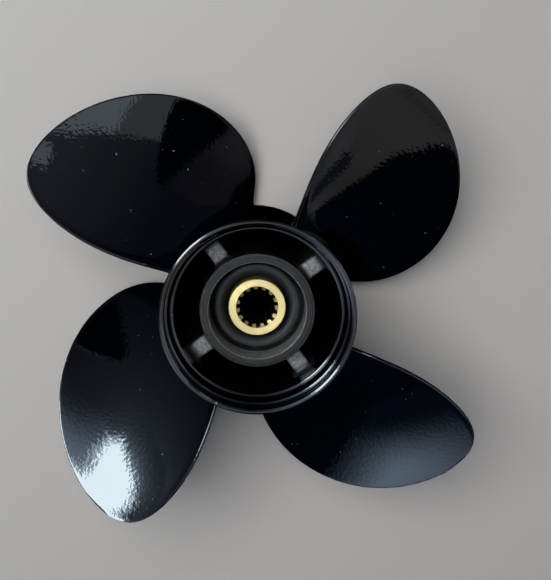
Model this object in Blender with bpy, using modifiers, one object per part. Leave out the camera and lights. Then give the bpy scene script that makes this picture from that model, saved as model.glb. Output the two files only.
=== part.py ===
# Four-blade outboard motor propeller with exhaust through its hub, seen from aft in the photo.
# The shaft axis is Z, with the flared aft rim on top. The barrel's front ring rests on z = 0.
# Barrel, inner hub, ribs and blades are one aluminium casting on the real propeller.

import math

import bmesh
import bpy

INCH = 0.0254
GAP = 0.0003                     # clearance between touching solids

# barrel: the outer tube that the blades stand on
LENGTH = 0.133                   # front ring to the top of the aft rim
BARREL_R = 0.0537                # 4 1/4 inch barrel
BARREL_EDGE = 0.001              # bevel of the front ring
RIM_R = 0.0588                   # outside of the flared aft rim
LIP_R = 0.0012                   # rounding of the rim's lip, which is twice as thick
FLARE_START = LENGTH - 0.034
FLARE_POWER = 1.6
PASSAGE_AFT_R = 0.0503           # the exhaust passage, at the ribs and at the front
PASSAGE_FRONT_R = 0.0495
STEPS = ((0.0510, LENGTH - 0.0167),    # two turned steps inside the rim, radius and height
         (0.0543, LENGTH - 0.0101))
STEP_ROUND = 0.0006
LEDGE = 0.0012                   # width of each step

# inner hub: the tube that holds the rubber
HUB_R = 0.0354
HUB_BORE_R = 0.0300
HUB_EDGE = 0.001
HUB_TOP = LENGTH - 0.0230
HUB_BOTTOM = 0.010

# ribs between barrel and inner hub
RIB_COUNT = 4
RIB_ANGLE = math.radians(45)
RIB_WIDTH = 0.0105
RIB_FILLET = 0.0035
RIB_TOP = LENGTH - 0.0350
RIB_BOTTOM = 0.016

# splined brass sleeve in its rubber bushing
SLEEVE_R = 0.0179
SPLINE_TEETH = 15                # on a 1 inch shaft
SPLINE_ROOT_R = 0.0131           # bottoms of the grooves
SPLINE_TIP_R = 0.0111            # tips of the teeth
SPLINE_TURN = math.radians(6)    # middle of the first tooth
GROOVE_SHARE = 0.46              # of each tooth's pitch, at the bottom of the groove
TOOTH_SHARE = 0.40               # of each tooth's pitch, at the tip
SLEEVE_TOP = LENGTH - 0.0347
SLEEVE_BOTTOM = 0.006
RUBBER_TOP = LENGTH - 0.0420     # where the rubber meets the sleeve and the hub
RUBBER_CREST = LENGTH - 0.0378   # top of the rubber's rounded ring
RUBBER_CREST_R = 0.0247
RUBBER_BOTTOM = 0.018

# blades
BLADE_COUNT = 4
TIP_R = 13 * INCH / 2            # 13 inches over the tips
# The next five are polynomials in the radial fraction, 0 at the barrel and 1 at the tip.
PITCH = (0.5156, 0.0447, -0.0952)                    # about 20 inches
MID_ANGLE = (43.24, -14.92, 70.45, -79.41, 40.94)    # degrees about Z of the middle of the chord
HALF_ANGLE = (31.84, 23.87, -58.45, 54.32, -20.38)   # degrees from mid-chord to either edge
MID_HEIGHT = (LENGTH - 0.0781, 0.01965, 0.02717)     # height of the middle of the chord
HOLLOW = (0.00187, -0.00105)     # how far the aft face is dished across the chord
SWAY = 0.00098                   # the aft face is fuller ahead of mid-chord, and hollower behind it
THICK_ROOT = 0.011
THICK_TIP = 0.003
EDGE = 0.0022                    # thickness along the blade's edges
CUP = 0.0012                     # aft curl along the trailing edge, and its width
CUP_WIDTH = 0.0055
ROOT_FILLET = 0.010
EDGE_FILLET = 0.25               # the fillet's share that is left at the two edges

# fineness
ROUND_STEPS = 72
ARC_STEPS = 3                    # round each small turned edge
FLARE_ROWS = 7
SWELL_ROWS = 9                   # across the rubber's aft face
RIB_ROWS = 8
CHORD_CELLS = 16
SPAN_CELLS = 16
ROOT_ROWS = (GAP, 0.0010, 0.0024, 0.0048, 0.0080)   # heights over the barrel, through the fillet
SPAN_START = 0.085               # the other rows, as shares of a quarter turn from root to tip
SPAN_END = 0.985
CAP_ROWS = 5

PAINT = (0.012, 0.012, 0.014)
CASTING = (0.030, 0.030, 0.033)
RUBBER = (0.010, 0.010, 0.010)
BRASS = (0.80, 0.66, 0.34)


def clear_scene():
    for item in list(bpy.data.objects):
        bpy.data.objects.remove(item, do_unlink=True)


def make_collection(name):
    group = bpy.data.collections.new(name)
    bpy.context.scene.collection.children.link(group)
    return group


def material(name, colour, roughness, metallic):
    mat = bpy.data.materials.new(name)
    mat.use_nodes = True
    shader = mat.node_tree.nodes["Principled BSDF"]
    shader.inputs["Base Color"].default_value = (*colour, 1.0)
    shader.inputs["Roughness"].default_value = roughness
    shader.inputs["Metallic"].default_value = metallic
    return mat


def add_object(name, data, mat, group):
    piece = bpy.data.objects.new(name, data)
    piece.data.materials.append(mat)
    group.objects.link(piece)
    return piece


def arc(centre_r, centre_z, radius, start, end, steps):
    """Points of an arc in the r-z plane, angles in degrees."""
    points = []
    for i in range(steps + 1):
        a = math.radians(start + (end - start) * i / steps)
        points.append((centre_r + radius * math.cos(a), centre_z + radius * math.sin(a)))
    return points


def turned(name, profile, mat, group):
    """A closed r-z profile, given down its outer side, turned about Z."""
    bm = bmesh.new()
    verts = [bm.verts.new((r, 0.0, z)) for r, z in profile]
    for a, b in zip(verts, verts[1:] + verts[:1]):
        bm.edges.new((a, b))
    mesh = bpy.data.meshes.new(name)
    bm.to_mesh(mesh)
    bm.free()
    piece = add_object(name, mesh, mat, group)
    screw = piece.modifiers.new("turn", "SCREW")
    screw.axis = "Z"
    screw.angle = 2 * math.pi
    screw.steps = ROUND_STEPS
    screw.render_steps = ROUND_STEPS
    screw.use_merge_vertices = True
    screw.merge_threshold = 0.00001
    screw.use_smooth_shade = True
    return piece


def flat_plate(name, outlines, bottom, top, mat, group):
    """Closed outlines in the x-y plane, extruded from bottom to top."""
    curve = bpy.data.curves.new(name, "CURVE")
    curve.dimensions = "2D"
    curve.fill_mode = "BOTH"
    curve.extrude = (top - bottom) / 2
    for outline in outlines:
        spline = curve.splines.new("POLY")
        spline.points.add(len(outline) - 1)
        spline.use_cyclic_u = True
        for point, (x, y) in zip(spline.points, outline):
            point.co = (x, y, 0.0, 1.0)
    flat = bpy.data.objects.new(name + "_outline", curve)
    bpy.context.scene.collection.objects.link(flat)
    flat.location.z = (top + bottom) / 2
    bpy.context.view_layer.update()
    depsgraph = bpy.context.evaluated_depsgraph_get()
    mesh = bpy.data.meshes.new_from_object(flat.evaluated_get(depsgraph))
    piece = add_object(name, mesh, mat, group)
    piece.matrix_world = flat.matrix_world.copy()
    bpy.data.objects.remove(flat, do_unlink=True)
    bm = bmesh.new()
    bm.from_mesh(mesh)
    bmesh.ops.remove_doubles(bm, verts=bm.verts, dist=0.00001)
    bmesh.ops.recalc_face_normals(bm, faces=bm.faces)
    bm.to_mesh(mesh)
    bm.free()
    return piece


def barrel_profile():
    """Down the outside from the lip, across the front ring, up the exhaust passage."""
    lip_r = RIM_R - LIP_R
    lip_z = LENGTH - LIP_R
    profile = arc(lip_r, lip_z, LIP_R, 90, 0, ARC_STEPS)
    for i in range(1, FLARE_ROWS + 1):
        t = i / FLARE_ROWS
        swell = (1 - t) ** FLARE_POWER
        profile.append((BARREL_R + (RIM_R - BARREL_R) * swell, lip_z + (FLARE_START - lip_z) * t))
    profile.append((BARREL_R, BARREL_EDGE))
    profile.append((BARREL_R - BARREL_EDGE, 0.0))
    profile.append((PASSAGE_FRONT_R + BARREL_EDGE / 2, 0.0))
    profile.append((PASSAGE_FRONT_R, BARREL_EDGE / 2))
    profile.append((PASSAGE_AFT_R, RIB_TOP))
    for radius, height in STEPS:
        profile += arc(radius + STEP_ROUND, height - STEP_ROUND, STEP_ROUND, 180, 90, 2)
        profile.append((radius + LEDGE, height))
    profile += arc(lip_r, lip_z, LIP_R, 180, 120, ARC_STEPS - 1)
    return profile


def make_barrel(mat, group):
    turned("barrel", barrel_profile(), mat, group)


def make_inner_hub(mat, group):
    edge = HUB_EDGE
    profile = [(HUB_R - edge, HUB_TOP), (HUB_R, HUB_TOP - edge), (HUB_R, HUB_BOTTOM + edge),
               (HUB_R - edge, HUB_BOTTOM), (HUB_BORE_R + edge, HUB_BOTTOM),
               (HUB_BORE_R, HUB_BOTTOM + edge), (HUB_BORE_R, HUB_TOP - edge),
               (HUB_BORE_R + edge / 2, HUB_TOP)]
    turned("inner_hub", profile, mat, group)


def make_rubber(mat, group):
    """A bushing whose aft face swells into a rounded ring."""
    inner = SLEEVE_R + GAP
    outer = HUB_BORE_R - GAP
    profile = []
    for i in range(SWELL_ROWS + 1):
        turn = math.pi * i / SWELL_ROWS
        side = inner if turn < math.pi / 2 else outer
        r = RUBBER_CREST_R + (side - RUBBER_CREST_R) * abs(math.cos(turn))
        profile.append((r, RUBBER_TOP + (RUBBER_CREST - RUBBER_TOP) * math.sin(turn)))
    profile += [(outer, RUBBER_BOTTOM), (inner, RUBBER_BOTTOM)]
    turned("rubber_bushing", profile, mat, group)


def spline_outline():
    """The sleeve's bore: square-shouldered teeth that narrow a little towards their tips."""
    pitch = 2 * math.pi / SPLINE_TEETH
    corners = ((SPLINE_TIP_R, -TOOTH_SHARE / 2), (SPLINE_TIP_R, TOOTH_SHARE / 2),
               (SPLINE_ROOT_R, 0.5 - GROOVE_SHARE / 2), (SPLINE_ROOT_R, 0.5),
               (SPLINE_ROOT_R, 0.5 + GROOVE_SHARE / 2))
    points = []
    for k in range(SPLINE_TEETH):
        for r, share in corners:
            a = SPLINE_TURN + (k + share) * pitch
            points.append((r * math.cos(a), r * math.sin(a)))
    return points


def ring_outline(radius, steps):
    return [(radius * math.cos(2 * math.pi * i / steps), radius * math.sin(2 * math.pi * i / steps))
            for i in range(steps)]


def make_sleeve(mat, group):
    outlines = [ring_outline(SLEEVE_R, ROUND_STEPS), spline_outline()]
    flat_plate("splined_sleeve", outlines, SLEEVE_BOTTOM, SLEEVE_TOP, mat, group)


def rib_outline(angle):
    """A waisted bar from hub to barrel, with fillets at both ends and ends on arcs."""
    inner = HUB_R + GAP
    outer = PASSAGE_FRONT_R - GAP
    side = []
    for i in range(RIB_ROWS + 1):
        r = inner + (outer - inner) * i / RIB_ROWS
        near = min(r - inner, outer - r)
        swell = RIB_FILLET - math.sqrt(max(0.0, RIB_FILLET ** 2 - max(0.0, RIB_FILLET - near) ** 2))
        side.append((r, RIB_WIDTH / 2 + swell))
    points = [(r, math.asin(half / r)) for r, half in side]
    end = [(outer, points[-1][1] * (1 - 2 * j / 4)) for j in range(1, 4)]
    back = [(r, -a) for r, a in reversed(points)]
    start = [(inner, -points[0][1] * (1 - 2 * j / 4)) for j in range(1, 4)]
    return [(r * math.cos(angle + a), r * math.sin(angle + a)) for r, a in points + end + back + start]


def make_ribs(mat, group):
    for k in range(RIB_COUNT):
        outline = rib_outline(RIB_ANGLE + 2 * math.pi * k / RIB_COUNT)
        flat_plate("rib_%d" % (k + 1), [outline], RIB_BOTTOM, RIB_TOP, mat, group)


def poly(terms, x):
    return sum(c * x ** i for i, c in enumerate(terms))


def section(q, radius):
    """One closed blade section on the cylinder of this radius.

    q is the radial fraction. Points are (distance round the cylinder from mid-chord, height),
    first along the aft face from leading to trailing edge, then back along the front face.
    """
    taper = math.sqrt(max(0.0, 1 - q * q))
    half = math.radians(poly(HALF_ANGLE, q)) * taper * radius
    slope = poly(PITCH, q) / (2 * math.pi * radius)
    tilt = math.atan(slope)
    thick = THICK_ROOT + (THICK_TIP - THICK_ROOT) * q
    nose = EDGE / 2
    aft = []
    front = []
    for i in range(CHORD_CELLS + 1):
        s = -math.cos(math.pi * i / CHORD_CELLS)
        a = s * (half - nose)
        dish = (SWAY * (s ** 3 - s) - poly(HOLLOW, q) * (1 - s * s)) * taper
        cup = CUP * max(0.0, 1 - (1 - s) * half / CUP_WIDTH) ** 2 * taper
        z = a * slope + dish + cup
        depth = EDGE + (thick - EDGE) * (1 - s * s) * taper
        aft.append((a, z))
        front.append((a + depth * math.sin(tilt), z - depth * math.cos(tilt)))
    trail = (half, half * slope + CUP * taper - nose)
    lead = (-half, -half * slope - nose)
    return aft, trail, front, lead


def grown(points, reach):
    """The closed section pushed outward along its normals by the root fillet."""
    out = []
    count = len(points)
    for i in range(count):
        before = points[i - 1]
        after = points[(i + 1) % count]
        dx = after[0] - before[0]
        dz = after[1] - before[1]
        size = math.hypot(dx, dz)
        out.append((points[i][0] - dz / size * reach[i], points[i][1] + dx / size * reach[i]))
    return out


def fillet_reach(height):
    """How far a fillet stands out from the blade at this height above the barrel."""
    left = max(0.0, ROOT_FILLET - height)
    return ROOT_FILLET - math.sqrt(ROOT_FILLET ** 2 - left ** 2)


def blade_rings():
    """Rings of points from root to tip: aft face, trailing edge, front face, leading edge."""
    span = TIP_R - BARREL_R
    heights = list(ROOT_ROWS)
    for i in range(SPAN_CELLS + 1):
        u = SPAN_START + (SPAN_END - SPAN_START) * i / SPAN_CELLS
        heights.append(span * math.sin(u * math.pi / 2))
    rings = []
    for height in heights:
        q = height / span
        radius = BARREL_R + height
        aft, trail, front, lead = section(q, radius)
        flat = aft + [trail] + front[::-1] + [lead]
        reach = fillet_reach(height)
        shares = []
        for i in range(CHORD_CELLS + 1):
            s = -math.cos(math.pi * i / CHORD_CELLS)
            shares.append(EDGE_FILLET + (1 - EDGE_FILLET) * (1 - s * s))
        spread = [reach * x for x in shares + [EDGE_FILLET] + shares[::-1] + [EDGE_FILLET]]
        flat = grown(flat, spread)
        middle = math.radians(poly(MID_ANGLE, q))
        base = poly(MID_HEIGHT, q)
        rings.append([(radius, middle + a / radius, base + z) for a, z in flat])
    return rings


def cylinder_point(r, a, z):
    return (r * math.cos(a), r * math.sin(a), z)


def cap_blade(bm, ring, verts, outward):
    """Close a ring with rows of points that lie on its own cylinder."""
    side = CHORD_CELLS + 1
    rows = []
    for i in range(side):
        top = ring[i]
        low = ring[2 * side - i]
        row = [verts[i]]
        for j in range(1, CAP_ROWS + 1):
            t = j / (CAP_ROWS + 1)
            between = [top[n] + (low[n] - top[n]) * t for n in range(3)]
            row.append(bm.verts.new(cylinder_point(*between)))
        row.append(verts[2 * side - i])
        rows.append(row)
    faces = []
    for a, b in zip(rows, rows[1:]):
        for j in range(CAP_ROWS + 1):
            faces.append((a[j], b[j], b[j + 1], a[j + 1]))
    trail = verts[side]
    lead = verts[2 * side + 1]
    for j in range(CAP_ROWS + 1):
        faces.append((rows[-1][j], trail, rows[-1][j + 1]))
        faces.append((lead, rows[0][j], rows[0][j + 1]))
    for face in faces:
        bm.faces.new(face if outward else face[::-1])


def blade_mesh():
    bm = bmesh.new()
    rings = blade_rings()
    layers = [[bm.verts.new(cylinder_point(*p)) for p in ring] for ring in rings]
    count = len(layers[0])
    for low, high in zip(layers, layers[1:]):
        for i in range(count):
            j = (i + 1) % count
            bm.faces.new((low[i], low[j], high[j], high[i]))
    cap_blade(bm, rings[0], layers[0], False)
    cap_blade(bm, rings[-1], layers[-1], True)
    bmesh.ops.triangulate(bm, faces=bm.faces)
    bmesh.ops.recalc_face_normals(bm, faces=bm.faces)
    mesh = bpy.data.meshes.new("blade")
    bm.to_mesh(mesh)
    bm.free()
    mesh.shade_smooth()
    return mesh


def make_blades(mat, group):
    mesh = blade_mesh()
    mesh.materials.append(mat)
    for k in range(BLADE_COUNT):
        piece = bpy.data.objects.new("blade_%d" % (k + 1), mesh)
        piece.rotation_euler.z = 2 * math.pi * k / BLADE_COUNT
        group.objects.link(piece)


def main():
    clear_scene()
    group = make_collection("outboard_propeller")
    paint = material("gloss_black_paint", PAINT, 0.12, 0.0)
    casting = material("painted_casting", CASTING, 0.35, 0.0)
    rubber = material("black_rubber", RUBBER, 0.60, 0.0)
    brass = material("satin_brass", BRASS, 0.35, 1.0)
    make_barrel(paint, group)
    make_inner_hub(casting, group)
    make_ribs(casting, group)
    make_blades(paint, group)
    make_rubber(rubber, group)
    make_sleeve(brass, group)
    bpy.context.view_layer.update()


main()
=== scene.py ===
import math
import bpy
import numpy as np
from mathutils import Matrix, Vector


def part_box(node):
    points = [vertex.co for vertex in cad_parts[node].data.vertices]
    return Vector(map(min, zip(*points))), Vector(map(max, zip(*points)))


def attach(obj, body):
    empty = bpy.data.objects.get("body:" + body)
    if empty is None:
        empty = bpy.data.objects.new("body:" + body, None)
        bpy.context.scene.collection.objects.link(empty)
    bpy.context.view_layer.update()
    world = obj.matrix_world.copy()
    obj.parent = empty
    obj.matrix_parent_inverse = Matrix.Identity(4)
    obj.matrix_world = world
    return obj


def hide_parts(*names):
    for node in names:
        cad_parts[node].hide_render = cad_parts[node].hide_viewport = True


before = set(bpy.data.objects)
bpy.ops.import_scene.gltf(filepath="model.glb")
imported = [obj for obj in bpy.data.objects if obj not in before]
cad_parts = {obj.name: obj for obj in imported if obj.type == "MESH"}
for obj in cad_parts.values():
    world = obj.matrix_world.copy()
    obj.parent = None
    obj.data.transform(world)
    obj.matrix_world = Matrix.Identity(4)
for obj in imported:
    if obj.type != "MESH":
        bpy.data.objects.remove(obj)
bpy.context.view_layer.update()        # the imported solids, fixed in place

print("solids loaded:", len(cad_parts))

# Heights and radii that the solids already fix, in metres. +Z points aft, along the shaft.
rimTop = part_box("barrel")[1].z
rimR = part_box("barrel")[1].x
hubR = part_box("inner_hub")[1].x
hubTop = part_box("inner_hub")[1].z
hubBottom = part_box("inner_hub")[0].z
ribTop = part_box("rib_1")[1].z
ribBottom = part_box("rib_1")[0].z
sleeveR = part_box("splined_sleeve")[1].x
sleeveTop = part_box("splined_sleeve")[1].z
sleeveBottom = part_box("splined_sleeve")[0].z
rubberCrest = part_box("rubber_bushing")[1].z
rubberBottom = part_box("rubber_bushing")[0].z
midway = 0.060                                   # a row of points half way along the hub's tubes


# A socket that takes part in sums. Each sum adds its own Math node.
class Signal:
    def __init__(self, finish, socket):
        self.finish = finish
        self.socket = socket

    def __add__(self, other):
        return self.finish.maths("ADD", self, other)

    __radd__ = __add__

    def __sub__(self, other):
        return self.finish.maths("SUBTRACT", self, other)

    def __rsub__(self, other):
        return self.finish.maths("SUBTRACT", other, self)

    def __mul__(self, other):
        return self.finish.maths("MULTIPLY", self, other)

    def __pow__(self, other):
        return self.finish.maths("POWER", self, other)

    def between(self, low, high):                # 0 at low, 1 at high, eased
        settings = {"interpolation_type": "SMOOTHSTEP"}
        return self.finish.node("ShaderNodeMapRange", settings, {0: self, 1: low, 2: high, 3: 0.0, 4: 1.0})


# One material. Its shader is a Principled BSDF.
class Finish:
    def __init__(self, name, fixed):
        self.material = bpy.data.materials.new(name)
        self.material.use_nodes = True
        self.tree = self.material.node_tree
        self.shader = self.tree.nodes["Principled BSDF"]
        for socket, value in fixed.items():
            self.shader.inputs[socket].default_value = value

    def node(self, kind, settings, values, output=0):
        made = self.tree.nodes.new(kind)
        for name, value in settings.items():
            setattr(made, name, value)
        for name, value in values.items():
            if isinstance(value, Signal):
                self.tree.links.new(value.socket, made.inputs[name])
            else:
                made.inputs[name].default_value = value
        return Signal(self, made.outputs[output])

    def maths(self, operation, *terms):
        return self.node("ShaderNodeMath", {"operation": operation}, dict(enumerate(terms)))

    def vectorMaths(self, operation, output, *terms):
        return self.node("ShaderNodeVectorMath", {"operation": operation}, dict(enumerate(terms)), output)

    def place(self):                             # a point of the object, in metres
        return self.node("ShaderNodeTexCoord", {}, {}, "Object")

    def height(self, place):                     # its height over the front ring
        return self.node("ShaderNodeSeparateXYZ", {}, {0: place}, "Z")

    def radius(self, place):                     # its distance from the shaft's axis
        flat = self.vectorMaths("MULTIPLY", "Vector", place, (1.0, 1.0, 0.0))
        return self.vectorMaths("LENGTH", "Value", flat)

    def noise(self, place, scale, detail, rough=0.5):
        values = {"Vector": place, "Scale": scale, "Detail": detail, "Roughness": rough}
        return self.node("ShaderNodeTexNoise", {}, values)

    def specks(self, place, scale, size):        # 1 in the middle of scattered round specks, 0 between them
        values = {"Vector": place, "Scale": scale, "Randomness": 1.0}
        far = self.node("ShaderNodeTexVoronoi", {"feature": "F1"}, values)
        return 1 - far.between(size * 0.4, size)

    def mixed(self, share, first, second):       # a colour between two
        settings = {"data_type": "RGBA"}
        return self.node("ShaderNodeMix", settings, {0: share, 6: first, 7: second}, 2)

    def feed(self, socket, signal):
        self.tree.links.new(signal.socket, self.shader.inputs[socket])

    def bump(self, height, distance):
        values = {"Height": height, "Distance": distance, "Strength": 1.0}
        self.feed("Normal", self.node("ShaderNodeBump", {}, values))


# In the finishes below, a noise is its scale, its detail and any roughness, specks are their scale
# and size, and a range is where an effect starts and where it is full.

# Gloss black enamel over the casting: orange peel, dust under the paint, a faint haze.
glossPaint = {
    "ior": 1.5,
    "colour": (0.0005, 0.0012, 0.0024, 1.0),
    "roughness": 0.035,
    "hazeNoise": (18.0, 4.0, 0.6),
    "hazeRange": (0.35, 0.75),
    "hazeRough": 0.03,
    "peelNoise": (430.0, 1.0),
    "peelDepth": 0.00005,
    "dust": (0.40, 0.40, 0.41, 1.0),
    "dustShare": 0.8,                            # how far its colour covers the paint's
    "dustRough": 0.2,
    "dustDepth": 0.00035,
    "largeSpecks": (78.0, 0.065),
    "patchNoise": (38.0, 2.0),                   # the larger specks keep to these patches
    "patchRange": (0.42, 0.52),
    "fineSpecks": (135.0, 0.068),                # finer and fainter specks, all over
    "fineShare": 0.3,
    "gritSpecks": (240.0, 0.085),                # only bumps, in the same patches
    "gritShare": 0.8,
}


def glossBlack(name, peeled=1.0):
    p = glossPaint
    finish = Finish(name, {"IOR": p["ior"]})
    place = finish.place()
    peel = finish.noise(place, *p["peelNoise"])
    patches = finish.noise(place, *p["patchNoise"]).between(*p["patchRange"])
    large = finish.specks(place, *p["largeSpecks"])
    fine = finish.specks(place, *p["fineSpecks"])
    grit = finish.specks(place, *p["gritSpecks"])
    haze = finish.noise(place, *p["hazeNoise"]).between(*p["hazeRange"])
    dust = large * patches + fine * p["fineShare"]
    finish.feed("Base Color", finish.mixed(dust * p["dustShare"], p["colour"], p["dust"]))
    finish.feed("Roughness", p["roughness"] + haze * p["hazeRough"] + dust * p["dustRough"])
    height = peel + dust * (p["dustDepth"] / p["peelDepth"]) + grit * patches * p["gritShare"]
    finish.bump(height, p["peelDepth"] * peeled)
    return finish.material


# Paint sprayed thinly into the hub, over rougher sand-cast metal.
castPaint = {
    "ior": 1.4,
    "colour": (0.007, 0.0078, 0.0085, 1.0),
    "thin": (0.015, 0.0165, 0.018, 1.0),
    "roughness": 0.27,
    "grainNoise": (1150.0, 3.0, 0.65),
    "grainDepth": 0.00014,
    "grainRough": 0.14,
    "broadNoise": (120.0, 3.0),                  # where the paint gets thin
    "broadRange": (0.4, 0.7),
    "broadShare": 1.6,                           # of the grain's depth
    "pitSpecks": (520.0, 0.22),
    "pitShare": 0.5,
    # the dust's colour, which the painted highlight on the ring's bevel also takes
    "dustAndHighlight": (0.325, 0.332, 0.345, 1.0),
    "spotNoise": (520.0, 3.0, 0.7),              # thicker spots in the dust
    "spotRange": (0.36, 0.62),
    "spotShare": 0.6,
    "ribInner": (hubR + 0.0012, hubR + 0.0042),  # radii over which a rib's dust starts
    "ribOuter": (0.0452, 0.0484),                # and over which it ends
    "ribHeight": (ribTop - 0.004, ribTop - 0.001),
    "boreDust": (0.0001, 0.0006),                # outside the bore's wall, where its dust ends
    # painted highlight round the ring's turned bevel, in the dust's colour: its share and its heights
    "bevelHighlight": 0.35,                            # on the ring's turned bevel
    "bevelHighlightLow": (hubTop - 0.0008, hubTop - 0.0006),
    "bevelHighlightHigh": (hubTop - 0.0003, hubTop - 0.0001),
}


# The last argument says where its dust shows: on the ribs between their fillets, or down the hub's bore.
# With the bore, a painted highlight in the dust's colour also runs round the ring's turned bevel.
def castBlack(name, grain, rough, dustAndHighlight):
    p = castPaint
    finish = Finish(name, {"IOR": p["ior"]})
    place = finish.place()
    grains = finish.noise(place, *p["grainNoise"])
    pits = finish.specks(place, *p["pitSpecks"])
    broad = finish.noise(place, *p["broadNoise"])
    colour = finish.mixed(broad.between(*p["broadRange"]), p["colour"], p["thin"])
    radius = finish.radius(place)
    level = finish.height(place)
    if dustAndHighlight == "ribs":
        where = radius.between(*p["ribInner"]) * (1 - radius.between(*p["ribOuter"]))
        where = where * level.between(*p["ribHeight"])
    else:
        near, far = p["boreDust"]
        where = 1 - radius.between(innerHub["boreR"] + near, innerHub["boreR"] + far)
        # painted highlight: a light line round the bevel down to the ring's ledge
        edge = level.between(*p["bevelHighlightLow"]) * (1 - level.between(*p["bevelHighlightHigh"]))
        where = where + edge * p["bevelHighlight"]
    spots = finish.noise(place, *p["spotNoise"]).between(*p["spotRange"])
    share = where * (spots * p["spotShare"] + (1 - p["spotShare"]))
    finish.feed("Base Color", finish.mixed(share, colour, p["dustAndHighlight"]))
    finish.feed("Roughness", p["roughness"] + rough + grains * p["grainRough"])
    height = grains + broad * p["broadShare"] - pits * p["pitShare"]
    finish.bump(height, p["grainDepth"] * grain)
    return finish.material


# Moulded black rubber: matt, with fine pores and a dusty bloom. The inner groove is painted shade: near
# black, without bloom.
rubberFinish = {
    "ior": 1.45,
    "colour": (0.003, 0.003, 0.0034, 1.0),
    "roughness": 0.36,
    "bloom": (0.018, 0.018, 0.019, 1.0),
    "bloomNoise": (90.0, 4.0, 0.6),
    "bloomRange": (0.45, 0.75),
    "bloomRough": 0.06,
    "poreNoise": (900.0, 2.0),
    "poreDepth": 0.00006,
    "grooveR": 0.0232,                           # where the groove ends
    "grooveFade": 0.0006,
    "grooveRough": 0.35,                         # more, where the mould's dust stays
}


def mouldedRubber(name):
    p = rubberFinish
    finish = Finish(name, {"IOR": p["ior"]})
    place = finish.place()
    pores = finish.noise(place, *p["poreNoise"])
    bloom = finish.noise(place, *p["bloomNoise"]).between(*p["bloomRange"])
    fade = p["grooveFade"]
    grooveShade = 1 - finish.radius(place).between(p["grooveR"] - fade, p["grooveR"] + fade)
    # Painted shade: inside the groove the colour stays near black, without the bloom.
    finish.feed("Base Color", finish.mixed(bloom * (1 - grooveShade), p["colour"], p["bloom"]))
    finish.feed("Roughness", p["roughness"] + bloom * p["bloomRough"] + grooveShade * p["grooveRough"])
    finish.bump(pores, p["poreDepth"])
    return finish.material


# Brass faced in a lathe: fine rings, a soft satin, a few darker stains. Painted shade darkens the bore to
# near black below its mouth.
brassFinish = {
    "colour": (0.84, 0.64, 0.285, 1.0),
    "roughness": 0.34,
    "ringPitch": 0.00022,
    "ringDepth": 0.000007,
    "grainNoise": (2600.0, 2.0),
    "grainShare": 1.5,                           # of the rings' depth
    "grainRough": 0.10,
    "stain": (0.66, 0.50, 0.23, 1.0),
    "stainNoise": (260.0, 4.0, 0.6),
    "stainRange": (0.55, 0.78),
    "stainShare": 0.6,
    "stainRough": 0.08,
    # painted shade in the bore: its colour, the radii where it ends and the heights where it starts
    "boreShade": (0.020, 0.017, 0.012, 1.0),
    "boreShadeEnd": (0.01295, 0.01325),             # radii over which it ends
    "boreShadeTop": (sleeveTop - 0.0035, sleeveTop - 0.0014),
}


def facedBrass(name):
    p = brassFinish
    finish = Finish(name, {"Metallic": 1.0})
    place = finish.place()
    radius = finish.radius(place)
    rings = finish.maths("SINE", radius * (2 * math.pi / p["ringPitch"]))
    grain = finish.noise(place, *p["grainNoise"])
    stain = finish.noise(place, *p["stainNoise"]).between(*p["stainRange"])
    # painted shade: near black in the bore, deeper than its mouth
    bore = 1 - radius.between(*p["boreShadeEnd"])
    deepShade = 1 - finish.height(place).between(*p["boreShadeTop"])
    worn = finish.mixed(stain * p["stainShare"], p["colour"], p["stain"])
    finish.feed("Base Color", finish.mixed(bore * deepShade, worn, p["boreShade"]))
    finish.feed("Roughness", p["roughness"] + grain * p["grainRough"] + stain * p["stainRough"])
    finish.bump(rings + grain * p["grainShare"], p["ringDepth"])
    return finish.material


# Edges are shaded sharp where they turn more than "sharp" degrees.
def meshPiece(name, points, faces, material, node, sharp):
    mesh = bpy.data.meshes.new(name)
    mesh.from_pydata([tuple(p) for p in points], [], faces)
    mesh.validate()
    mesh.shade_smooth()
    mesh.set_sharp_from_angle(angle=math.radians(sharp))
    mesh.materials.append(material)
    piece = bpy.data.objects.new(name, mesh)
    bpy.context.scene.collection.objects.link(piece)
    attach(piece, "root")
    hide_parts(node)


# Faces between rings of equal length. Each ring closes on itself, and so does the stack if asked.
def loftFaces(ringCount, ringSize, closed):
    faces = []
    last = ringCount if closed else ringCount - 1
    for k in range(last):
        a = k * ringSize
        b = ((k + 1) % ringCount) * ringSize
        for i in range(ringSize):
            j = (i + 1) % ringSize
            faces.append((a + i, a + j, b + j, b + i))
    return faces


# A closed profile of (radius, height) points, going down its outer side, turned about Z.
# The profile comes from a function of the angle, so that it may change on its way round.
def turnedPiece(name, profileAt, settings, material, node):
    steps = settings["steps"]
    points = []
    for k in range(steps):
        angle = 2 * math.pi * k / steps
        profile = profileAt(angle)
        points += [(r * math.cos(angle), r * math.sin(angle), z) for r, z in profile]
    faces = loftFaces(steps, len(profile), True)
    meshPiece(name, points, faces, material, node, settings["sharp"])


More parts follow.
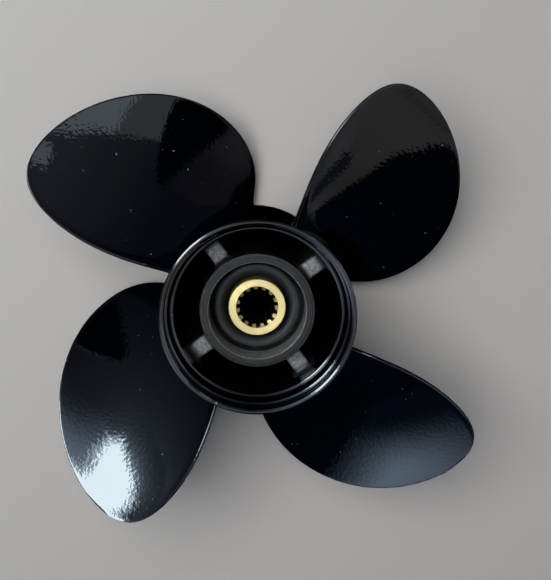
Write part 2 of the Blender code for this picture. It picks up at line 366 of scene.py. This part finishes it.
# A closed profile with its corners rounded. A corner is (radius, height, rounding). Two more
# points just past each rounding keep the flats beside it flat when shaded smooth.
def rounded(corners, steps=5, beside=0.00015):
    count = len(corners)
    places = [Vector(c[:2]) for c in corners]
    reaches = []
    for i, (_, _, rounding) in enumerate(corners):
        before = places[i - 1] - places[i]
        after = places[(i + 1) % count] - places[i]
        reaches.append(rounding / math.tan(before.angle(after) / 2))
    points = []
    for i, (r, z, rounding) in enumerate(corners):
        if not rounding:
            points.append((r, z))
            continue
        here = places[i]
        sides = []
        for j in (i - 1, (i + 1) % count):
            line = places[j] - here
            free = line.length - reaches[i] - reaches[j]
            sides.append((line.normalized(), min(beside, free / 3)))
        (back, backMore), (on, onMore) = sides
        half = back.angle(on) / 2
        centre = here + (back + on).normalized() * (rounding / math.sin(half))
        start = here + back * reaches[i]
        end = here + on * reaches[i]
        points.append(tuple(start + back * backMore))
        for k in range(steps + 1):
            spoke = (start - centre).slerp(end - centre, k / steps)     # of length 1
            points.append(tuple(centre + spoke * rounding))
        points.append(tuple(end + on * onMore))
    return points


# Barrel with its flared rim, which has a rounded lip and two turned steps inside.
barrel = {
    "steps": 216,
    "sharp": 50,
    "outerR": 0.0537,
    "lip": 0.0030,                               # thickness of the rim
    "lipBevel": (0.0011, 0.0005),                # outer bevel: width, drop
    "lipInside": (0.0011, 0.0006),               # inner bevel of the lip
    "lipRound": 0.0005,
    "stepBevel": (0.0007, 0.0004),               # inner bevels of the turned steps
    "flareLength": 0.0328,
    "flarePower": 1.6,
    "flareRows": 20,
    "turnedSteps": ((0.0510, 0.0167), (0.0543, 0.0101)),   # radius, depth below the rim
    "stepRound": 0.0002,
    "ledge": 0.0014,                             # width of a turned step
    "toolMarks": (0.0082, 0.0060, 0.0038),       # depths below the rim
    "markHalf": 0.0004,                          # half a ridge's length along the wall
    "markHeight": 0.00012,
    "markRound": 0.0001,
    "creaseRound": 0.0003,
    "passageAftR": 0.0503,
    "passageFrontR": 0.0495,
    "frontRound": 0.0008,
}


def barrelProfile(angle):
    b = barrel
    width, drop = b["lipBevel"]
    inWidth, inDrop = b["stepBevel"]
    small = b["stepRound"]
    corners = [(rimR - width, rimTop, small), (rimR, rimTop - drop, b["lipRound"])]
    top = rimTop - drop - b["lipRound"]
    for i in range(b["flareRows"] + 1):
        t = i / b["flareRows"]
        swell = (1 - t) ** b["flarePower"]
        corners.append((b["outerR"] + (rimR - b["outerR"]) * swell, top - b["flareLength"] * t, 0))
    corners += [(b["outerR"], 0.0, b["frontRound"]), (b["passageFrontR"], 0.0, b["frontRound"])]
    corners.append((b["passageAftR"], ribTop, 0))
    for radius, depth in b["turnedSteps"]:
        corners.append((radius, rimTop - depth - inDrop, small))
        corners.append((radius + inWidth, rimTop - depth, small))
        corners.append((radius + b["ledge"], rimTop - depth, b["creaseRound"]))
    wall = rimR - b["lip"]
    for depth in b["toolMarks"]:                 # shallow turned ridges
        corners.append((wall, rimTop - depth - b["markHalf"], 0))
        corners.append((wall - b["markHeight"], rimTop - depth, b["markRound"]))
        corners.append((wall, rimTop - depth + b["markHalf"], 0))
    inWidth, inDrop = b["lipInside"]
    corners += [(wall, rimTop - inDrop, small), (wall + inWidth, rimTop, small)]
    return rounded(corners)


def makeBarrel():
    turnedPiece("barrel_casting", barrelProfile, barrel, turnedPaint, "barrel")


# Inner hub: its aft ring has a turned ledge round the outside, with a bevel down to it. Over one
# stretch the casting's skin was left as it was, so the face runs on there nearly to the edge.
innerHub = {
    "steps": 360,
    "sharp": 50,
    "boreR": 0.0300,
    "ledgeR": 0.0345,
    "ledgeDrop": 0.0008,
    "ledgeBevel": 0.0009,                        # width of the slope down to the ledge
    "edgeRound": 0.0003,
    "boreRound": 0.0005,
    "skinStart": math.radians(129),
    "skinEnd": math.radians(164),
    "skinFade": math.radians(1.5),
    "skinLeft": 0.03,                            # share of the ledge's drop that is left there
}


def hubProfile(angle):
    h = innerHub
    inside = min(angle - h["skinStart"], h["skinEnd"] - angle) / h["skinFade"]
    part = 1 - min(1.0, max(h["skinLeft"], inside)) * (1 - h["skinLeft"])
    drop = h["ledgeDrop"] * part
    small = min(h["edgeRound"], drop * 0.45)     # both roundings have to fit into the drop
    corners = [(h["ledgeR"] - h["ledgeBevel"] * part, hubTop, small), (h["ledgeR"], hubTop - drop, small),
               (hubR, hubTop - drop, h["edgeRound"]), (hubR, midway, 0),
               (hubR, hubBottom, h["boreRound"]), (h["boreR"], hubBottom, h["boreRound"]),
               (h["boreR"], midway, 0), (h["boreR"], hubTop, h["boreRound"])]
    return rounded(corners)


def makeInnerHub():
    turnedPiece("inner_hub_casting", hubProfile, innerHub, satin, "inner_hub")


# Ribs with fillets into both tubes and rounded aft edges.
rib = {
    "count": 4,
    "sharp": 40,
    "angle": math.radians(45),
    "width": 0.0105,
    "sideFillet": 0.0036,
    "topFillet": 0.0030,
    "edgeR": 0.0022,
    "bite": 0.0004,                              # how far an end runs into the tube's wall
    "radialSteps": 18,
    "edgeSteps": 6,
    "sideRows": (0.0, 0.03, 0.06),               # heights over its front end
}


# What a fillet of this radius still adds, at this distance from the wall that it runs into.
def filletAt(near, radius):
    left = max(0.0, radius - near)
    return radius - math.sqrt(max(0.0, radius ** 2 - left ** 2))


def ribRings(angle):
    inner = hubR
    outer = barrel["passageAftR"]
    rings = []
    stations = [inner - rib["bite"]]
    for i in range(rib["radialSteps"] + 1):
        stations.append(inner + (outer - inner) * 0.5 * (1 - math.cos(math.pi * i / rib["radialSteps"])))
    stations.append(outer + rib["bite"])
    for r in stations:
        near = max(0.0, min(r - inner, outer - r))
        half = rib["width"] / 2 + filletAt(near, rib["sideFillet"])
        top = ribTop + filletAt(near, rib["topFillet"])
        edge = rib["edgeR"]
        turns = rib["edgeSteps"]
        ring = [(-half, ribBottom + up) for up in rib["sideRows"]]
        for i in range(turns + 1):
            a = math.radians(180 - 90 * i / turns)
            ring.append((-half + edge + edge * math.cos(a), top - edge + edge * math.sin(a)))
        ring += [((-half + edge) * share, top) for share in (0.5, 0.0, -0.5)]
        for i in range(1, turns + 1):
            a = math.radians(90 - 90 * i / turns)
            ring.append((half - edge + edge * math.cos(a), top - edge + edge * math.sin(a)))
        ring += [(half, ribBottom + up) for up in rib["sideRows"][::-1]]
        bent = []
        for x, z in ring:                        # ends follow the tubes' round walls
            turn = angle + x / r
            bent.append((r * math.cos(turn), r * math.sin(turn), z))
        rings.append(bent)
    return rings


def cappedFaces(ringCount, ringSize):
    faces = loftFaces(ringCount, ringSize, False)
    faces.append(tuple(range(ringSize))[::-1])
    faces.append(tuple((ringCount - 1) * ringSize + i for i in range(ringSize)))
    return [face[::-1] for face in faces]


def makeRibs():
    for k in range(rib["count"]):
        rings = ribRings(rib["angle"] + 2 * math.pi * k / rib["count"])
        points = [p for ring in rings for p in ring]
        faces = cappedFaces(len(rings), len(rings[0]))
        name = "rib_%d" % (k + 1)
        meshPiece(name + "_casting", points, faces, roughCast, name, rib["sharp"])


# Rubber bushing: a rounded bead on its aft face, between two grooves.
rubber = {
    "steps": 128,
    "sharp": 50,
    "beadR": 0.0249,
    "beadIn": 0.0070,                            # from the crest down to the sleeve
    "beadOut": 0.0042,
    "innerDrop": 0.0100,                         # grooves below the bead's crest
    "outerDrop": 0.0042,
    "flatter": 3.0,                              # power of the fall from the crest
    "sleeveGap": 0.0003,
    "hubGap": 0.0003,
    "rows": 34,
}


def rubberProfile(angle):
    p = rubber
    inner = sleeveR + p["sleeveGap"]
    outer = innerHub["boreR"] - p["hubGap"]
    profile = []
    for i in range(p["rows"] + 1):
        r = inner + (outer - inner) * i / p["rows"]
        inside = r < p["beadR"]
        away = (p["beadR"] - r) / p["beadIn"] if inside else (r - p["beadR"]) / p["beadOut"]
        fall = min(1.0, away) ** p["flatter"]
        profile.append((r, rubberCrest - p["innerDrop" if inside else "outerDrop"] * fall))
    return profile + [(outer, midway), (outer, rubberBottom), (inner, rubberBottom), (inner, midway)]


def makeRubber():
    turnedPiece("rubber_moulding", rubberProfile, rubber, rubberMat, "rubber_bushing")


# Brass sleeve with fifteen teeth, whose ends are cut back in a cone.
sleeve = {
    "teeth": 15,
    "sharp": 30,
    "firstTooth": math.radians(6),
    "grooveR": 0.0131,
    "tipR": 0.0111,
    "tipHalf": 0.20,                             # of the pitch, from a tooth's middle to its edge
    "grooveHalf": 0.23,
    "shoulder": (0.02, 0.93),                    # past a tooth's flat: share of the pitch, height
    "foot": (0.015, 0.10),                       # before a groove's floor
    "cone": 0.9,                                 # depth of the cut for each unit of radius
    "rimBevel": 0.0004,
    "mouthBevel": 0.00015,
}


# One tooth and one groove: (share of the pitch from the tooth's middle, height there from 0 to 1).
def toothCorners():
    s = sleeve
    corners = [(s["tipHalf"] * t, 1.0) for t in (-1.0, -0.6, -0.2, 0.2, 0.6, 1.0)]
    foot = 0.5 - s["grooveHalf"]
    past, pastTall = s["shoulder"]
    before, beforeTall = s["foot"]
    corners += [(s["tipHalf"] + past, pastTall), (foot - before, beforeTall), (foot, 0.0)]
    corners += [(0.5 + s["grooveHalf"] * t, 0.0) for t in (-0.6, -0.2, 0.2, 0.6, 1.0)]
    corners += [(1 - foot + before, beforeTall), (1 - s["tipHalf"] - past, pastTall)]
    return corners


# "size" is the radius of a round ring. For a toothed one it is 1 at the aft end, -1 at the front.
def sleeveRing(kind, size, height):
    s = sleeve
    ring = []
    for k in range(s["teeth"]):
        for share, tall in toothCorners():
            a = s["firstTooth"] + 2 * math.pi * (k + share) / s["teeth"]
            r = size
            z = height
            if kind == "toothed":
                r = s["grooveR"] + (s["tipR"] - s["grooveR"]) * tall
                z = height - size * (s["grooveR"] + s["mouthBevel"] - r) * s["cone"]
            ring.append((r * math.cos(a), r * math.sin(a), z))
    return ring


def makeSleeve():
    e = sleeve["rimBevel"]
    mouth = sleeve["grooveR"] + sleeve["mouthBevel"]
    levels = [("round", sleeveR - 2 * e, sleeveTop), ("round", sleeveR - e, sleeveTop),
              ("round", sleeveR, sleeveTop - e), ("round", sleeveR, sleeveBottom + e),
              ("round", sleeveR - e, sleeveBottom), ("round", mouth, sleeveBottom),
              ("toothed", -1, sleeveBottom), ("toothed", 1, sleeveTop), ("round", mouth, sleeveTop)]
    rings = [sleeveRing(*level) for level in levels]
    points = [p for ring in rings for p in ring]
    faces = [face[::-1] for face in loftFaces(len(rings), len(rings[0]), True)]
    meshPiece("sleeve_brass", points, faces, brass, "splined_sleeve", sleeve["sharp"])


# Blades. The polynomials run from 0 at the barrel to 1 at the tip, as in the part's source.
blade = {
    "count": 4,
    "sharp": 60,
    "tipR": 0.16475,
    "pitch": (0.5156, 0.0447, -0.0952),
    "midAngle": (43.24, -14.92, 70.45, -79.41, 40.94),   # degrees
    "halfAngle": (31.84, 23.87, -58.45, 54.32, -20.38),  # degrees
    "midHeight": (rimTop - 0.0781, 0.01965, 0.02717),
    "thickRoot": 0.011,
    "thickTip": 0.003,
    "edge": 0.0022,                              # thickness at the edges
    "hollow": (0.00187, -0.00105),               # of the aft face, in its middle
    "sway": 0.00098,                             # of the aft face, one way and then the other
    "cup": 0.0005,                               # of the trailing edge, eased over "cupWidth"
    "cupWidth": 0.0035,
    "fillet": 0.010,
    "edgeFillet": 0.25,                          # share of the fillet that the edges get
    "chordCells": 64,
    "spanCells": 72,
    "noseSteps": 8,
    "capRows": 6,
    "rootRows": (-0.0002, 0.00005, 0.0003, 0.0007, 0.0012, 0.0018, 0.0026, 0.0036, 0.0048, 0.0062, 0.0078),
    "spanShares": (0.085, 0.9962),               # of the first and last row past the root
    "trailSquare": 2.7,                          # 2 is a round edge, more is squarer
    "leadSquare": 2.4,
    "leadNose": 0.6,                             # length of the leading nose, in half thicknesses
    "droop": 0.00033,                            # of the leading edge, eased over "droopWidth"
    "droopWidth": 0.0030,
}


def poly(terms, x):
    return sum(c * x ** i for i, c in enumerate(terms))


# The closed section of a blade at this height over the barrel, unrolled from its cylinder. Its
# points are (distance round the cylinder, distance aft).
def bladeSection(height, span):
    b = blade
    q = max(0.0, height) / span
    radius = barrel["outerR"] + max(0.0, height)
    taper = math.sqrt(max(0.0, 1 - q * q))
    half = math.radians(poly(b["halfAngle"], q)) * taper * radius
    slope = poly(b["pitch"], q) / (2 * math.pi * radius)
    tilt = math.atan(slope)
    thick = b["thickRoot"] + (b["thickTip"] - b["thickRoot"]) * q
    nose = b["edge"] / 2
    outer = max(0.0, 1 - (span - height) / nose)         # past here the tip rounds off
    thin = math.sqrt(max(0.0, 1 - outer ** 2))
    s = -np.cos(np.pi * np.arange(b["chordCells"] + 1) / b["chordCells"])
    noses = nose * thin * np.where(s < 0, b["leadNose"], 1.0)
    a = s * np.maximum(half - noses, 0.0001)             # never quite shut
    dish = (b["sway"] * (s ** 3 - s) - poly(b["hollow"], q) * (1 - s ** 2)) * taper
    cup = b["cup"] * np.clip(1 - (1 - s) * half / b["cupWidth"], 0, 1) ** 2 * taper
    droop = b["droop"] * np.clip(1 - (1 + s) * half / b["droopWidth"], 0, 1) ** 2 * taper
    z = a * slope + dish + cup - droop - (1 - thin) * nose / math.cos(tilt)
    depth = (b["edge"] + (thick - b["edge"]) * (1 - s ** 2) * taper) * thin
    aft = np.stack([a, z], 1)
    front = aft + np.stack([depth * math.sin(tilt), -depth * math.cos(tilt)], 1)
    along = np.array([math.cos(tilt), math.sin(tilt)])
    across = np.array([-math.sin(tilt), math.cos(tilt)])
    turn = np.pi * np.arange(1, b["noseSteps"]) / b["noseSteps"]

    def nosePoints(centre, side, square, long):
        out = []
        for t in turn:
            far = abs(math.sin(t)) ** (2 / square) * long
            high = math.copysign(abs(math.cos(t)) ** (2 / square), math.cos(t))
            out.append(centre + nose * thin * (side * far * along + high * across))
        return out

    trail = nosePoints((aft[-1] + front[-1]) / 2, 1, b["trailSquare"], 1.0)
    lead = nosePoints((aft[0] + front[0]) / 2, -1, b["leadSquare"], b["leadNose"])[::-1]
    ring = np.array(list(aft) + trail + list(front[::-1]) + lead)
    share = b["edgeFillet"] + (1 - b["edgeFillet"]) * (1 - s ** 2)
    ends = [b["edgeFillet"]] * len(trail)
    reach = filletAt(max(0.0, height), b["fillet"]) * np.array(list(share) + ends + list(share[::-1]) + ends)
    step = np.roll(ring, -1, 0) - np.roll(ring, 1, 0)
    step /= np.linalg.norm(step, axis=1)[:, None]
    return ring + reach[:, None] * np.stack([-step[:, 1], step[:, 0]], 1)


# Points of a flat section, wrapped on the cylinder at this height over the barrel.
def wrapped(flat, height, q):
    radius = barrel["outerR"] + height
    angle = math.radians(poly(blade["midAngle"], q)) + flat[:, 0] / radius
    high = poly(blade["midHeight"], q) + flat[:, 1]
    return np.stack([radius * np.cos(angle), radius * np.sin(angle), high], 1)


def bladeRings():
    b = blade
    span = b["tipR"] - barrel["outerR"]
    heights = list(b["rootRows"])
    first, last = b["spanShares"]
    for i in range(b["spanCells"] + 1):
        u = first + (last - first) * i / b["spanCells"]
        heights.append(span * math.sin(u * math.pi / 2))
    rings = []
    for height in heights:
        rings.append(wrapped(bladeSection(height, span), height, max(0.0, height) / span))
    return rings, bladeSection(heights[0], span), heights[0]


# The root is closed inside the barrel's wall, with rows of points that follow its cylinder.
def rootCap(flat, height, firstNew):
    b = blade
    last = b["chordCells"]
    frontStart = last + b["noseSteps"]           # where the front face starts in a ring
    rows = b["capRows"]
    points = []
    columns = []
    for i in range(last + 1):
        top = flat[i]
        low = flat[frontStart + last - i]
        inner = [top + (low - top) * j / (rows + 1) for j in range(1, rows + 1)]
        start = firstNew + len(points)
        points += inner
        columns.append([i] + list(range(start, start + rows)) + [frontStart + last - i])
    faces = []
    for before, after in zip(columns, columns[1:]):
        for j in range(rows + 1):
            faces.append((before[j], after[j], after[j + 1], before[j + 1]))
    trail = list(range(last + 1, frontStart))
    lead = list(range(frontStart + last + 1, len(flat)))
    faces.append(tuple(columns[-1][::-1] + trail))
    faces.append(tuple(columns[0] + lead))
    return wrapped(np.array(points), height, 0.0), faces


def makeBlades():
    b = blade
    rings, rootFlat, rootHeight = bladeRings()
    size = len(rings[0])
    capPoints, capFaces = rootCap(rootFlat, rootHeight, size * len(rings))
    points = np.concatenate(rings + [capPoints])
    tip = tuple((len(rings) - 1) * size + i for i in range(size))
    faces = [face[::-1] for face in loftFaces(len(rings), size, False) + [tip]] + capFaces
    for k in range(b["count"]):
        turn = Matrix.Rotation(2 * math.pi * k / b["count"], 3, "Z")
        turned = points @ np.array(turn).T
        name = "blade_%d" % (k + 1)
        meshPiece(name + "_casting", turned.tolist(), faces, paint, name, b["sharp"])


paint = glossBlack("gloss_black_paint")
turnedPaint = glossBlack("gloss_black_turned", peeled=0.3)
satin = castBlack("satin_painted_ring", grain=0.35, rough=0.02, dustAndHighlight="bore")
roughCast = castBlack("painted_sand_casting", grain=1.0, rough=0.12, dustAndHighlight="ribs")
rubberMat = mouldedRubber("black_moulded_rubber")
brass = facedBrass("faced_brass")
print("finishes made")

makeBarrel()
makeInnerHub()
makeRibs()
makeBlades()
print("casting made")

makeRubber()
makeSleeve()
print("hub fittings made")


# Floor, light and camera.
studio = {
    "floor": (0.70, 0.655, 0.61, 1.0),
    "floorSize": 3.0,
    "underSize": 0.17,
    "underHeight": -0.001,
    "shadeHeight": 0.0002,
    "world": (0.004, 0.011, 0.026, 1.0),
    "fill": 19.0,                                # W, for the floor and the dull surfaces only
    "fillPlace": (-0.48, 0.36, 1.6),
    "fillSize": 1.2,
}


def flatSheet(name, radius, sides, height, material):
    turns = [2 * math.pi * (k + 0.5) / sides for k in range(sides)]
    mesh = bpy.data.meshes.new(name)
    points = [(radius * math.cos(a), radius * math.sin(a), height) for a in turns]
    mesh.from_pydata(points, [], [tuple(range(sides))])
    mesh.materials.append(material)
    sheet = bpy.data.objects.new(name, mesh)
    bpy.context.scene.collection.objects.link(sheet)
    return sheet


# The gloss paint is to mirror dark surroundings, so the pale floor is left out of its reflections.
# A small black disc takes its place right under the object, seen in reflections only. A second
# one, inside the barrel's front end, is painted shade: a black sheet that keeps the passages dark.
def makeFloor():
    front = barrel["passageFrontR"] + barrel["frontRound"]
    pale = Finish("pale_floor", {"Base Color": studio["floor"], "Roughness": 0.6})
    black = Finish("black_painted_shade", {"Base Color": (0.001, 0.001, 0.001, 1), "Specular IOR Level": 0.0})
    floor = flatSheet("floor", studio["floorSize"], 4, 0.0, pale.material)
    floor.visible_glossy = False
    under = flatSheet("under_floor", studio["underSize"], 64, studio["underHeight"], black.material)
    under.visible_camera = False
    under.visible_diffuse = False
    # painted shade: a black sheet on the floor inside the barrel
    flatSheet("shade", front, 64, studio["shadeHeight"], black.material)


# The camera looks down the shaft from aft, a little from above in the photo.
view = {
    "turn": math.radians(9.0),                   # from the picture's axes to the part's
    "tilt": math.radians(10.717),
    "side": math.radians(1.769),
    "distance": 0.59922,
    "shiftX": 0.010388,                          # the shaft's place in the picture, in the rim's plane
    "shiftY": 0.017216,
    "longSide": 580,                             # pixels
    "focalPixels": 1017,
}


# Directions of the picture in the part's frame: right, up and towards the camera.
def pictureAxes():
    t = view["tilt"]
    a = view["side"]
    right = Vector((math.cos(a), 0, math.sin(a)))
    up = Vector((math.sin(a) * math.sin(t), math.cos(t), -math.cos(a) * math.sin(t)))
    back = Vector((-math.sin(a) * math.cos(t), math.sin(t), math.cos(a) * math.cos(t)))
    spin = Matrix.Rotation(view["turn"], 3, "Z")
    return Matrix((spin @ right, spin @ up, spin @ back)).transposed()


def makeCamera():
    v = view
    axes = pictureAxes()
    lens = bpy.data.cameras.new("camera")
    lens.sensor_width = 36.0
    lens.lens = lens.sensor_width * v["focalPixels"] / v["longSide"]
    camera = bpy.data.objects.new("camera", lens)
    place = Vector((0, 0, rimTop)) + axes @ Vector((v["shiftX"], v["shiftY"], v["distance"]))
    camera.matrix_world = Matrix.Translation(place) @ axes.to_4x4()
    bpy.context.scene.collection.objects.link(camera)
    bpy.context.scene.camera = camera


# Panels round the object, which the gloss paint mirrors: a group for each blade and one for the
# barrel. A group's direction is in degrees off the line to the camera, and round it from the
# picture's right. Corners are in shares of the distance, the first number round, the second inward.
# "light" is what a panel gives at the end of its ramps or near its glow, "dim" away from them. A
# ramp is a start, an end and a power, a glow is a middle, a radius and a power. Later panels of a
# group stand nearer.
surroundings = {
    "blade_2": {"direction": (50, 5), "panels": {
        "farWall": {
            "light": (0.280, 0.300, 0.370), "dim": (0.042, 0.049, 0.075),
            "ramps": [((0, -0.72), (0, 0.35), 1.25), ((1.6, 0), (0, 0), 1.0)],
            "corners": ((-0.60, -1.30), (1.30, -1.30), (1.30, 0.80), (-0.60, 0.80)),
        },
        "lowWall": {
            "light": (0.225, 0.225, 0.250), "dim": (0.075, 0.072, 0.105),
            "ramps": [((0.05, 0), (-0.50, 0), 1.0), ((0, -1.25), (0, -0.65), 1.0)],
            "corners": ((-1.20, -1.30), (0.30, -1.30), (0.30, -0.50), (0.05, -0.44), (-1.20, -0.44)),
        },
        "window": {
            "light": (1.33, 1.61, 1.89),
            "corners": ((-0.60, -0.09), (0.035, -0.09), (0.06, 0.00), (0.13, 0.12), (0.18, 0.26),
                        (0.12, 0.60), (-0.60, 0.60)),
        },
        "windowSill": {
            "light": (0.600, 0.635, 0.720),
            "corners": ((-0.60, -0.42), (-0.06, -0.42), (0.00, -0.22), (0.035, -0.085), (-0.60, -0.085)),
        },
        "farLamp": {
            "light": (1.24, 1.44, 1.71),
            "corners": ((0.245, 0.225), (0.33, 0.24), (0.37, 0.45), (0.25, 0.45)),
        },
    }},
    "blade_3": {"direction": (42, 150), "panels": {
        "keyWall": {
            "light": (0.82, 0.97, 1.33), "dim": (0.0, 0.0, 0.0), "glow": ((0.10, 0.05), 0.20, 1.5),
            "corners": ((-1.40, -1.40), (0.80, -1.40), (0.80, 0.80), (-1.40, 0.80)),
        },
        "keyHalo": {
            "light": (6.3, 8.1, 9.8), "dim": (0.15, 0.18, 0.25), "glow": ((0.0, 0.05), 0.10, 3.2),
            "corners": ((-0.30, -0.20), (-0.10, -0.30), (0.15, -0.28), (0.30, -0.10), (0.30, 0.40),
                        (-0.30, 0.40)),
        },
        "keyHaze": {
            "light": (2.05, 2.68, 3.4), "dim": (0.17, 0.20, 0.28),
            "ramps": [((-0.47, 0.10), (-0.10, 0.22), 1.5)],
            "corners": ((-0.42, 0.02), (-0.16, -0.02), (-0.10, 0.10), (0.06, 0.20), (0.06, 0.60),
                        (-0.70, 0.60), (-0.53, 0.25)),
        },
        "keyRim": {
            "light": (5.2, 6.8, 8.2),
            "corners": ((-0.16, -0.080), (0.06, -0.080), (0.19, -0.02), (0.28, 0.06), (0.30, 0.20),
                        (0.30, 0.60), (0.06, 0.60), (0.02, 0.27), (-0.005, 0.22), (-0.075, 0.165),
                        (-0.16, 0.13), (-0.22, 0.04)),
        },
        "key": {
            "light": (17.8, 21.1, 22.5),
            "corners": ((-0.14, -0.055), (0.05, -0.055), (0.17, 0.00), (0.25, 0.08), (0.27, 0.20),
                        (0.27, 0.60), (0.08, 0.60), (0.05, 0.25), (0.025, 0.19), (-0.06, 0.125),
                        (-0.13, 0.09), (-0.18, 0.03)),
        },
    }},
    "barrel": {"direction": (22, 278), "panels": {
        "overhead": {
            "light": (1.20, 1.17, 1.14),
            "corners": ((-0.19, -0.19), (0.19, -0.19), (0.19, 0.19), (-0.19, 0.19)),
        },
    }},
    "blade_4": {"direction": (70, 232), "panels": {
        "sheen": {
            "light": (1.98, 2.60, 3.45), "dim": (0.018, 0.032, 0.070),
            "ramps": [((0, -0.28), (0, 0.14), 1.8), ((-0.50, -0.05), (-0.10, 0.14), 2.1),
                      ((1.1, 0), (-0.2, 0), 2.0)],
            "corners": ((-0.50, 0.20), (-0.44, 0.12), (-0.36, 0.02), (-0.27, -0.10), (-0.16, -0.22),
                        (0.02, -0.40), (0.60, -0.50), (0.60, 0.60), (-0.60, 0.60)),
        },
    }},
    "blade_1": {"direction": (85, 305), "panels": {
        "door": {
            "light": (0.440, 0.405, 0.418), "dim": (0.225, 0.225, 0.235),
            "ramps": [((0, -0.35), (0, 0.15), 1.0)],
            "corners": ((0.28, -0.80), (0.80, -0.80), (0.80, 0.60), (-0.25, 0.60), (-0.15, 0.30),
                        (-0.12, 0.12), (-0.04, 0.02), (0.02, -0.08), (0.08, -0.20), (0.14, -0.30),
                        (0.215, -0.50)),
        },
        "doorRail": {
            "light": (0.30, 0.285, 0.30),
            "corners": ((-0.15, 0.285), (0.35, 0.285), (0.35, 0.325), (-0.17, 0.325)),
        },
        "doorSide": {
            "light": (0.43, 0.42, 0.46), "dim": (0.16, 0.19, 0.25),
            "ramps": [((0, -0.55), (0, -0.05), 1.0)],
            "corners": ((0.24, -0.13), (0.22, 0.10), (0.22, 0.28), (0.80, 0.28), (0.80, -0.80),
                        (0.42, -0.80), (0.39, -0.50), (0.33, -0.28)),
        },
        "doorGap": {
            "light": (0.055, 0.072, 0.105),
            "corners": ((0.20, -0.13), (0.25, -0.13), (0.33, -0.28), (0.39, -0.50), (0.42, -0.66),
                        (0.35, -0.66), (0.31, -0.45), (0.25, -0.30), (0.20, -0.18)),
        },
    }},
}
panelDistance = 12.0
panelStep = 0.05                                 # nearer for each next panel of a group


def pictureDirection(away, around):
    away = math.radians(away)
    around = math.radians(around)
    return Vector((math.sin(away) * math.cos(around), math.sin(away) * math.sin(around), math.cos(away)))


# What a panel is made of. It gives light evenly, or along its ramps, or less away from a point.
def panelLight(name, panel):
    finish = Finish(name, {"Base Color": (0, 0, 0, 1), "Specular IOR Level": 0.0, "Emission Strength": 1.0})
    place = finish.place()
    share = None
    for start, end, power in panel.get("ramps", []):
        start = Vector((*start, 0)) * panelDistance
        way = Vector((*end, 0)) * panelDistance - start
        along = finish.vectorMaths("DOT_PRODUCT", "Value", place, way)
        rise = along.between(start.dot(way), start.dot(way) + way.length_squared) ** power
        share = rise if share is None else share * rise
    if "glow" in panel:
        middle, radius, power = panel["glow"]
        far = finish.vectorMaths("DISTANCE", "Value", place, Vector((*middle, 0)) * panelDistance)
        away = far * (1 / (radius * panelDistance))
        share = finish.maths("MAXIMUM", away, 1.0) ** -power
    if share is None:
        finish.shader.inputs["Emission Color"].default_value = (*panel["light"], 1.0)
    else:
        finish.feed("Emission Color", finish.mixed(share, (*panel["dim"], 1.0), (*panel["light"], 1.0)))
    return finish.material


def makePanels(node, group):
    outward = pictureDirection(*group["direction"])
    sideways = Vector((0, 0, 1)).cross(outward).normalized()
    axes = pictureAxes() @ Matrix((sideways, outward.cross(sideways), outward)).transposed()
    low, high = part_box(node)
    middle = (low + high) / 2
    for i, (name, panel) in enumerate(group["panels"].items()):
        mesh = bpy.data.meshes.new(name)
        points = [(x * panelDistance, y * panelDistance, 0) for x, y in panel["corners"]]
        mesh.from_pydata(points, [], [tuple(range(len(points)))])
        mesh.materials.append(panelLight(name, panel))
        card = bpy.data.objects.new(name, mesh)
        place = middle + axes.col[2] * (panelDistance - panelStep * i)
        card.matrix_world = Matrix.Translation(place) @ axes.to_4x4()
        card.visible_camera = False
        card.visible_diffuse = False             # the fill alone lights the floor
        bpy.context.scene.collection.objects.link(card)


def makeLight():
    world = bpy.data.worlds.new("studio")
    world.use_nodes = True
    background = world.node_tree.nodes["Background"]
    background.inputs["Color"].default_value = studio["world"]
    bpy.context.scene.world = world
    for node, group in surroundings.items():
        makePanels(node, group)
    light = bpy.data.lights.new("fill", "AREA")
    light.size = studio["fillSize"]
    light.energy = studio["fill"]
    fill = bpy.data.objects.new("fill", light)
    fill.location = studio["fillPlace"]
    fill.rotation_mode = "QUATERNION"
    fill.rotation_quaternion = Vector(studio["fillPlace"]).to_track_quat("Z", "Y")
    fill.visible_glossy = False
    bpy.context.scene.collection.objects.link(fill)


makeFloor()
makeCamera()
makeLight()
bpy.context.scene.view_settings.view_transform = "Standard"
print("floor, light and camera set")
